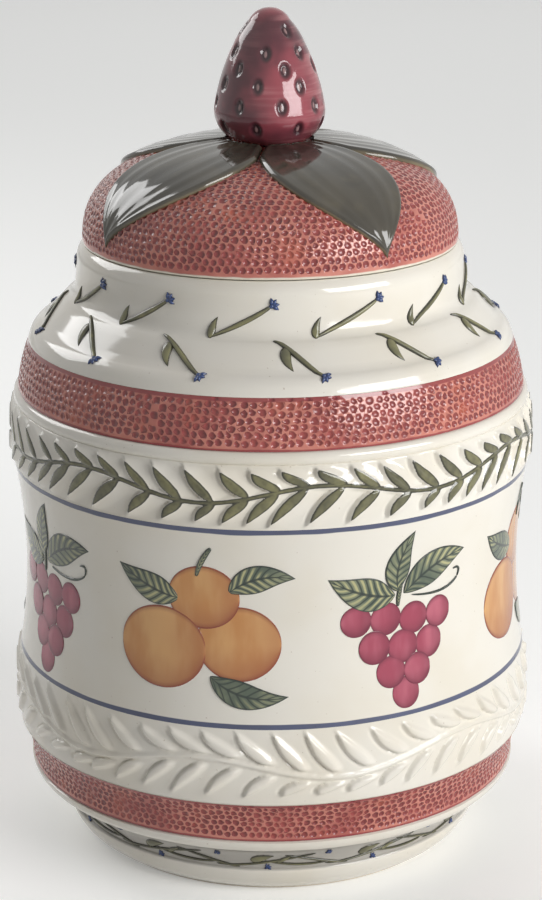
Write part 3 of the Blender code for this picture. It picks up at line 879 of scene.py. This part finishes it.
def makeSealRing():
    at, seal = lidSizes, sealSizes
    top = at["seat"] - at["grooveDrop"] - seal["play"]
    bottom = top - at["grooveHeight"] + 2 * seal["play"]
    inside = at["flange"] - at["grooveDepth"] + seal["play"]
    band = inside + seal["band"]
    finEnd = seal["reach"] - seal["tipRound"]
    section = [(inside, top), (band, top)]
    pitch = (top - bottom) / seal["fins"]
    for fin in range(seal["fins"]):
        middle = top - pitch * (fin + 0.5)
        section += outline((
            (band, middle + seal["finRoot"] / 2),
            (finEnd, middle + seal["finTip"] / 2),
            (finEnd, middle - seal["finTip"] / 2, seal["tipSwell"], 5),
            (band, middle - seal["finRoot"] / 2),
        ))
    section += [(band, bottom), (inside, bottom)]
    return turned("canister_seal", section, at["steps"], closed=True)


print("lid")
lidGlaze = stippledGlaze("red_glaze_lid", plainBelow=(lidSizes["seat"] + lidSizes["paleEdge"]) * mm)
finished(makeLid(), lidGlaze, "lid", ["lid"], angle=50)
finished(makeSealRing(), rubber(), "lid", ["seal_ring"], angle=40)


# Pads: closed shapes laid on a turned surface, from a sphere whose poles are their two ends

def pad(name, grid):
    # the sphere with, for each point, its share along, its place across, and its side, 1 outermost
    sphere = bpy.ops.mesh.primitive_uv_sphere_add
    piece = newPiece(name, sphere, segments=grid[0], ring_count=grid[1], radius=1)
    x, y, z = readPoints(piece).T
    size = np.maximum(np.hypot(x, y), 1e-9)
    return piece, (1 - z) / 2, x / size, y / size


def onlyRound(share):  # 0 at both ends and 1 from a little way in
    return np.sqrt(np.clip(1 - (2 * share - 1) ** 2, 0, 1))


# the half width of each kind of pad along its length, as a share of its greatest
padShapes = {
    "disc": onlyRound,
    "stem": lambda share: np.minimum(1, onlyRound(share) * 2.4) * (0.5 + 2.2 * share - 2.0 * share ** 2),
    "leaf": lambda share: np.sin(np.pi * share ** 0.8),
    "blade": lambda share: np.sin(np.pi * share ** 0.62) ** 0.85,
}
strandSizes = {"under": 0.6, "flatLift": 3, "rimShare": 2.0}


def bezier(controls, share):  # of any number of control points
    order = len(controls) - 1
    return sum(math.comb(order, k) * (share ** k * (1 - share) ** (order - k))[:, None] * controls[k]
               for k in range(order + 1))


def curve(controls, share):  # its places and directions
    controls = np.asarray(controls, float)
    heading = bezier(np.diff(controls, axis=0) * (len(controls) - 1), share)
    return bezier(controls, share), heading / np.maximum(np.linalg.norm(heading, axis=1), 1e-9)[:, None]


def strand(spot, controls, shape, half, rise, grid, flat=0.0):
    # spot is a turn and a way on the jar's wall; controls run in millimetres right and up from it;
    # grid is how many segments and rings it has
    piece, share, across, side = pad("strand", grid)
    place, heading = curve(controls, share)
    crown = padShapes[shape](share)
    width = half * crown
    over = place[:, 0] + across * width * heading[:, 1]
    upward = place[:, 1] - across * width * heading[:, 0]
    way = spot[1] + upward
    turn = spot[0] + np.degrees(over / wall.radiusAt(way))
    body = np.where(side > 0, np.abs(side) ** (1 - flat), -strandSizes["under"])
    lifted = np.minimum(1, crown * (1 + strandSizes["flatLift"] * flat))
    lift = rise * body * np.where(side > 0, lifted, 1)
    writePoints(piece, wall.points(turn, way, lift))
    writeValue(piece, "along", share)
    writeValue(piece, "across", across)
    writeValue(piece, "rim", np.minimum(width * (1 - np.abs(across)), half * strandSizes["rimShare"] * crown))
    return piece


# Leaves on the dome

leafSizes = {
    "turns": {"leaf_front_right": 28, "leaf_back_right": 100, "leaf_back": 172,
              "leaf_back_left": 244, "leaf_front_left": 316},
    "leans": {"leaf_front_right": 8.0, "leaf_back_right": 24.0, "leaf_back": 2.0,
              "leaf_back_left": -21.0, "leaf_front_left": -13.5},
    # from the axis: where a leaf starts, where it parts from its neighbours, and its tip
    "start": 14.0, "notch": 27.0, "reach": 74.5,
    "belly": 4.5, "tipWidth": 1.6, "parting": 0.3, "endRound": 4, "point": 9.0, "pointShare": 0.85,
    "thickness": 1.55, "tipThinning": 0.4, "sunk": 0.3, "under": 0.5, "rimRound": 1.9, "tipSlope": 0.35,
    "flutes": 3.5, "fluteDepth": 0.1, "fluteFade": 5,
    "midribDepth": 0.35, "midribHalf": 0.7, "midribFade": 3,
    "lipRise": 0.22, "lipInset": 1.5, "lipHalf": 0.7, "lipFade": 6,
    "grid": (72, 88),
}
underDome = (lidSizes["radius"], lidSizes["seat"])
dome = Surface([underDome] + domeSection(0.0, lidSizes["domeParts"])[::-1][1:])


def makeDomeLeaf(name):
    at = leafSizes
    piece, share, across, side = pad("glazed_" + name, at["grid"])
    walked = at["start"] + (at["reach"] - at["start"]) * share
    way = dome.length - walked
    radius = dome.radiusAt(way)
    narrowing = np.clip((walked - at["notch"]) / (at["reach"] - at["notch"]), 0, 1)
    middle = at["turns"][name] + at["leans"][name] * narrowing
    rootHalf = 180 / len(at["turns"]) - np.degrees(at["parting"] / 2 / radius)
    tipHalf = np.degrees(at["tipWidth"] / 2 / radius)
    half = rootHalf * (1 - narrowing) + at["belly"] * np.sin(np.pi * narrowing) + tipHalf * narrowing
    fromTip = at["reach"] - walked
    half = half * np.minimum(1, onlyRound(share) * at["endRound"])
    half = half * (1 - at["pointShare"] * np.exp(-fromTip / at["point"]))
    fromSide = half * np.radians(radius) * (1 - np.abs(across))
    inward = np.minimum(fromSide, fromTip * at["tipSlope"])
    rim = np.clip(inward / at["rimRound"], 0, 1)
    rim = np.sqrt(np.clip(1 - (1 - rim) ** 2, 0, 1))
    flute = at["fluteDepth"] * np.cos(2 * np.pi * at["flutes"] * across)
    flute = flute * np.clip(inward / at["fluteFade"], 0, 1)
    midrib = np.exp(-(across * half * np.radians(radius) / at["midribHalf"]) ** 2)
    midrib = -at["midribDepth"] * midrib * np.clip(inward / at["midribFade"], 0, 1)
    lip = np.exp(-((fromSide - at["lipInset"]) / at["lipHalf"]) ** 2)
    lip = at["lipRise"] * lip * np.clip(fromTip / at["lipFade"], 0, 1)
    full = at["sunk"] + at["thickness"] - at["tipThinning"] * narrowing
    top = -at["sunk"] + rim * full + flute + midrib + lip
    bottom = -at["sunk"] - at["under"] * np.abs(side)
    lift = np.where(side > 1e-6, np.maximum(top, -at["sunk"]), bottom)
    writePoints(piece, dome.points(middle + half * across, way, lift))
    writeValue(piece, "inward", inward)
    return piece


# Strawberry knob

knobSizes = {
    "base": lidSizes["seat"] + lidSizes["height"] + 0.3, "height": 42.8,
    # up from the base: radius, height, and an arc's swell and parts
    "profile": ((0.0, 0.0), (11.2, 0.0), (12.1, 0.5, -0.2, 3), (18.1, 10.2, -1.7, 14),
                (11.6, 31.2, -0.9, 16), (6.6, 38.9, -0.4, 8), (0.0, 42.8, -1.1, 10)),
    # each row of pits: its share of the height, how many, and the first one's turn
    "rows": ((0.135, 8, -15.0), (0.3, 8, 10.0), (0.455, 7, -14.5), (0.575, 6, 17.5),
             (0.695, 6, -8.0), (0.85, 3, 38.0)),
    "pitWidth": 4.4, "pitLength": 6.2, "pitDepth": 1.15, "pitEdge": 1.1, "pitShade": 1.35,
    "seedWidth": 1.5, "seedLength": 2.9, "seedRise": 0.55, "seedShade": 1.3,
    "turnJitter": 2.5, "upJitter": 0.4, "seed": 11,
    "lobes": 3, "lobeTurn": 40, "lobeRise": 0.12, "poleFade": 3,
    "grid": (300, 260),
}


def makeKnob():
    at = knobSizes
    skin = Surface(outline([(radius, at["base"] + height, *bend) for radius, height, *bend in at["profile"]]))
    piece = pad("strawberry_berry", at["grid"])[0]
    x, y, z = readPoints(piece).T
    turn = np.degrees(np.arctan2(x, -y))
    way = skin.length * np.arccos(np.clip(-z, -1, 1)) / np.pi
    radius = np.maximum(skin.radiusAt(way), 0.01)
    lobes = np.sin(np.radians(turn * at["lobes"] + at["lobeTurn"]))
    lift = at["lobeRise"] * lobes * np.sin(np.pi * way / skin.length)
    pits = np.zeros(len(way))
    seeds = np.zeros(len(way))
    rng = random.Random(at["seed"])
    for height, count, first in at["rows"]:
        for place in range(count):
            there = first + 360 * place / count + rng.uniform(-at["turnJitter"], at["turnJitter"])
            up = skin.wayAt(at["base"] + height * at["height"]) + rng.uniform(-at["upJitter"], at["upJitter"])
            over = ((turn - there + 180) % 360 - 180) * np.radians(radius)
            pit = np.hypot(over / (at["pitWidth"] / 2), (way - up) / (at["pitLength"] / 2))
            seed = np.hypot(over / (at["seedWidth"] / 2), (way - up) / (at["seedLength"] / 2))
            lift -= at["pitDepth"] * eased(np.clip(at["pitEdge"] - pit, 0, 1))
            lift += at["seedRise"] * np.sqrt(np.clip(1 - seed ** 2, 0, 1))
            pits = np.maximum(pits, np.clip(at["pitShade"] - pit, 0, 1))
            seeds = np.maximum(seeds, np.clip(at["seedShade"] - seed, 0, 1))
    writePoints(piece, skin.points(turn, way, lift * np.clip(radius / at["poleFade"], 0, 1)))
    writeValue(piece, "pit", pits)
    writeValue(piece, "seed", seeds)
    return piece


print("dome leaves and knob")
oliveGlaze = domeLeafGlaze()
for name in leafSizes["turns"]:
    finished(makeDomeLeaf(name), oliveGlaze, "lid", [name])
finished(makeKnob(), berryGlaze(), "lid", ["strawberry_knob"])


# Sprigs on the neck and shoulder, and the vine in the cove of the foot

sprigSizes = {
    # a stem is in shares of its sprig's reach to the right, and in millimetres up
    "neck": {
        "turns": (-72.8, -45.1, -16.3, 12.2, 42.2, 69.9, 100.5, 131.0, 161.2, 191.0, 221.5, 254.0),
        "foot": 187.7, "reach": (18.4, 17.1, 18.4, 21.0, 18.9, 18.2, 19.0, 17.6, 18.8, 18.0, 19.2, 18.3),
        "stem": ((0, 0), (0.33, 3.4), (0.66, 5.8), (1, 10.2)),
        "leaf": ((0.0, -0.5), (-0.4, 3.2), (2.0, 6.6)), "leafHalf": 1.35,
    },
    "shoulder": {
        "turns": (-59.0, -29.7, 0.6, 28.9, 58.7, 88.5, 118.6, 149.0, 178.7, 208.9, 239.5, 270.2),
        "foot": 187.2, "reach": (17.7, 17.4, 15.4, 17.0, 16.2, 17.2, 16.4, 17.5, 16.1, 17.0, 16.6, 17.3),
        "stem": ((0, 0), (0.3, -2.2), (0.62, -8.8), (1, -13.6)),
        "leaf": ((4.0, -2.6), (2.9, -7.0), (6.3, -11.2)), "leafHalf": 1.75,
    },
    "stemHalf": 0.82, "rise": 0.9,
    "cupBack": 0.8, "cupForth": 0.9, "cupHalf": 0.75, "cupRise": 0.9,
    "petals": (-62, -22, 20, 60), "petalLength": 2.7, "petalHalf": 0.72, "petalRise": 0.9,
    "petalBend": 0.3,
}


def flower(spot, place, heading, size=1.0):  # petals fanned round the end of a stem, over a small cup
    at = sprigSizes
    cup = [place - at["cupBack"] * heading, place + at["cupForth"] * heading]
    petals = [strand(spot, cup, "disc", at["cupHalf"] * size, at["cupRise"] * size, (10, 8))]
    for spread in at["petals"]:
        turn = math.radians(spread)
        away = np.array([heading[0] * math.cos(turn) - heading[1] * math.sin(turn),
                         heading[0] * math.sin(turn) + heading[1] * math.cos(turn)])
        length = at["petalLength"] * size
        path = [place, place + 0.5 * length * (away + at["petalBend"] * heading), place + length * away]
        petals.append(strand(spot, path, "leaf", at["petalHalf"] * size, at["petalRise"] * size, (10, 9)))
    return petals


def makeSprigs(kind):
    at, shared = sprigSizes[kind], sprigSizes
    greens, blues = [], []
    for turn, reach in zip(at["turns"], at["reach"]):
        spot = (turn, wall.wayAt(at["foot"]))
        stem = [(x * reach, y) for x, y in at["stem"]]
        greens.append(strand(spot, stem, "stem", shared["stemHalf"], shared["rise"], (14, 24)))
        greens.append(strand(spot, at["leaf"], "blade", at["leafHalf"], shared["rise"], (14, 18)))
        place, heading = curve(stem, np.array([1.0]))
        blues += flower(spot, place[0], heading[0])
    return greens, blues


vineSizes = {
    "turns": (-32.0, -2.0, 27.0, 58.0, 88.0, 118.0, 148.0, 178.0, 208.0, 238.0, 268.0, 298.0),
    "height": 11.4, "half": 0.44, "rise": 0.55,
    "falling": ((-30.0, 5.4), (-22.0, 3.4), (-14.0, 0.6), (-8.0, -0.2)),
    "rising": ((-16.0, 0.4), (-6.0, -0.2), (4.0, 3.0), (17.0, 5.6)),
    "crossing": ((0.0, 2.6), (6.0, 1.2), (12.0, 0.2), (21.0, 1.2)),
    "leaf": ((-4.6, 2.4), (-1.0, 4.4), (3.2, 5.0)), "leafHalf": 1.7, "leafLift": 1.3,
    "blade": ((4.0, 1.8), (6.5, 3.6), (9.5, 5.2)), "bladeHalf": 0.9, "bladeLift": 1.1,
    "flowers": ((-16.0, 5.6), (0.6, -0.4)), "flowerHeading": (0.8, 0.6), "flowerSize": 0.65,
}


def makeVine():
    at = vineSizes
    greens, blues = [], []
    for turn in at["turns"]:
        spot = (turn, wall.wayAt(at["height"]))
        for stem in ("falling", "rising", "crossing"):
            greens.append(strand(spot, at[stem], "stem", at["half"], at["rise"], (10, 26)))
        for leaf, rings in (("leaf", 14), ("blade", 12)):
            lift = at["rise"] * at[leaf + "Lift"]
            greens.append(strand(spot, at[leaf], "blade", at[leaf + "Half"], lift, (12, rings)))
        for place in at["flowers"]:
            blues += flower(spot, np.array(place), np.array(at["flowerHeading"]), at["flowerSize"])
    return greens, blues


print("sprigs and vine")
sprigGlaze = strokeGlaze("cream_glaze_sprig", "leafThin", "leaf", "leafDeep", edge=0.32)
flowerGlaze = strokeGlaze("cream_glaze_flower", "blue", "blue", "blueDeep", edge=0.16)
petals = []
for name, (greens, blues) in {"neck_sprigs": makeSprigs("neck"), "shoulder_sprigs": makeSprigs("shoulder"),
                              "foot_vine": makeVine()}.items():
    finished(joined(name, greens), sprigGlaze, "jar")
    petals += blues
finished(joined("sprig_flowers", petals), flowerGlaze, "jar")


# Painted fruit round the waist: thin films of colour on the glaze

motifSizes = {
    # a film, and a layer more for each that lies over another
    "height": 99.0, "film": 0.07, "layer": 0.05, "fruitLayers": 4, "leafLayer": 5, "twigLayer": 8,
    "flat": 0.85, "twigFlat": 0.6,
    # fruits as middle and half sizes, leaves and twigs as three points and a half width
    "apricots": {
        "turns": (-16.0, 74.0, 164.0, 254.0),
        "fruits": ((13.0, -5.0, 13.4, 12.4), (2.0, 10.0, 11.5, 10.6), (-12.0, -8.0, 14.6, 13.6)),
        "leaves": (((-6.0, 9.0), (-16.0, 10.0), (-27.0, 18.0), 5.0),
                   ((10.0, 12.0), (19.0, 20.0), (31.0, 17.0), 4.6),
                   ((4.0, -16.0), (14.0, -25.0), (29.0, -22.0), 4.4)),
        "twigs": (((0.0, 17.0), (1.0, 22.0), (5.0, 27.0), 0.9),),
    },
    "grapes": {
        "turns": (29.0, 119.0, 209.0, 299.0),
        "fruits": ((1.5, -25.0, 5.0, 5.3), (-3.6, -17.4, 5.2, 5.4), (6.2, -18.0, 5.1, 5.3),
                   (-9.2, -8.6, 5.4, 5.6), (11.0, -10.0, 5.2, 5.5), (1.0, -9.6, 5.5, 5.6),
                   (-15.4, 0.8, 5.2, 5.2), (14.8, -0.8, 5.0, 5.3), (-5.2, 0.4, 5.4, 5.5),
                   (5.0, -0.8, 5.3, 5.4)),
        "leaves": (((-2.0, 8.0), (-13.0, 8.0), (-25.0, 16.0), 5.6),
                   ((1.0, 8.0), (12.0, 18.0), (26.0, 18.0), 5.4),
                   ((-1.0, 9.0), (-4.0, 18.0), (4.0, 29.0), 4.4)),
        "twigs": (((-1.0, 4.0), (-1.0, 8.0), (0.0, 12.0), 0.8), ((4.0, 7.0), (18.0, 4.0), (23.0, 9.0), 0.4),
                  ((23.0, 9.0), (25.0, 13.0), (21.0, 12.0), 0.35)),
    },
}


def makeMotifs(kind):
    at, shared = motifSizes[kind], motifSizes
    film, layer = shared["film"], shared["layer"]
    fruits, leaves = [], []
    for turn in at["turns"]:
        spot = (turn, wall.wayAt(shared["height"]))
        for order, (x, y, wide, tall) in enumerate(at["fruits"]):
            lift = film + layer * (order % shared["fruitLayers"] + 1)
            path = [(x - wide, y), (x + wide, y)]
            fruits.append(strand(spot, path, "disc", tall, lift, (48, 30), shared["flat"]))
        for order, (*path, half) in enumerate(at["leaves"]):
            lift = film + layer * (shared["leafLayer"] + order)
            leaves.append(strand(spot, path, "leaf", half, lift, (40, 40), shared["flat"]))
        for *path, half in at["twigs"]:
            lift = film + layer * shared["twigLayer"]
            leaves.append(strand(spot, path, "stem", half, lift, (12, 24), shared["twigFlat"]))
    return fruits, leaves


print("painted fruit")
fruitGlazes = {
    "apricots": fruitGlaze("cream_glaze_apricots", "apricotThin", "apricot", "apricotDeep", "rust"),
    "grapes": fruitGlaze("cream_glaze_grapes", "plumThin", "plum", "plumDeep", "plumDeep"),
}
leafFilm = veinedGlaze()
for kind in ("apricots", "grapes"):
    fruits, leaves = makeMotifs(kind)
    finished(joined("painted_" + kind, fruits), fruitGlazes[kind], "jar")
    finished(joined(kind + "_leaves", leaves), leafFilm, "jar")


# Set: floor, soft lights and the photograph's camera

print("set")
room = {
    "pale": colour(238, 238, 236), "ambient": (0.09, 0.092, 0.097, 1.0), "dark": (0.0, 0.0, 0.0, 1.0),
    # the floor's glow, and where it changes, in metres: near from the key's foot, behind towards
    # the key, far from the middle
    "floorSize": 20, "floorGlow": (0.24, 0.24, 0.236, 1.0), "farGlow": (0.705, 0.705, 0.694, 1.0),
    "near": (0.45, 1.1), "behind": (1.15, 1.45), "far": (2.6, 6.2),
    "eye": (0.0, -0.8057, 0.3832), "pitch": 17.353, "roll": -0.183, "lens": 99.93,
    "key": {"spot": (0.96, -0.76, 0.56), "size": (0.9, 0.5), "watts": 14.2},
    "side": {"spot": (-0.82, 0.58, 0.82), "size": (0.6, 0.6), "watts": 5.0},
    "back": {"spot": (0.0, 2.4, 2.2), "size": (3.0, 1.6), "watts": 30.0},
    "aim": (0.0, 0.0, 0.15),
}


def softLight(name, settings):
    bpy.ops.object.light_add(type="AREA", location=settings["spot"])
    light = bpy.context.object
    light.name = name
    light.data.shape = "RECTANGLE"
    light.data.size, light.data.size_y = settings["size"]
    light.data.energy = settings["watts"]
    aim = Vector(room["aim"]) - Vector(settings["spot"])
    light.rotation_euler = aim.to_track_quat("-Z", "Y").to_euler()


floor = newPiece("floor", bpy.ops.mesh.primitive_plane_add, size=room["floorSize"])
ground = Finish("floor", {"Base Color": room["pale"], "Roughness": 0.9, "Emission Strength": 1.0})
# it glows least under the key lamp, and behind that lamp and far off it fades into the backdrop
underKey = Vector((*room["key"]["spot"][:2], 0.0))


def measured(operation, *others):  # Vector Math on a place on the floor
    inputs = dict(enumerate((ground.place(), *others)))
    return ground.add("VectorMath", {"operation": operation}, inputs, "Value")


glowing = measured("DISTANCE", underKey).between(*room["near"])
shown = ground.mix(glowing, room["dark"], room["floorGlow"])
behind = measured("DOT_PRODUCT", underKey.normalized()).between(*room["behind"])
faded = behind + measured("LENGTH").between(*room["far"])
shown = ground.mix(faded, shown, room["farGlow"])
floor.data.materials.append(ground.feed(glow=ground.raysMixed(room["dark"], shown)))
floor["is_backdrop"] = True
for name in ("key", "side", "back"):
    softLight(name, room[name])
bpy.data.objects["back"].visible_glossy = False  # it lights the floor, and shows in no glaze

world = bpy.data.worlds.new("pale_room")
bpy.context.scene.world = world
sky = Nodes(world)
background = sky.tree.nodes["Background"].inputs["Color"]
sky.tree.links.new(sky.raysMixed(room["ambient"], room["pale"]).socket, background)

bpy.ops.object.camera_add()
camera = bpy.context.object
camera.data.lens = room["lens"]
camera.matrix_world = (Matrix.Translation(room["eye"])
                       @ Matrix.Rotation(math.radians(90 - room["pitch"]), 4, "X")
                       @ Matrix.Rotation(math.radians(room["roll"]), 4, "Z"))
bpy.context.scene.camera = camera
bpy.context.scene.view_settings.view_transform = "Standard"

sizes = {"cad": [list(corner) for corner in cadBox], "visual": [list(corner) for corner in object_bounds()]}
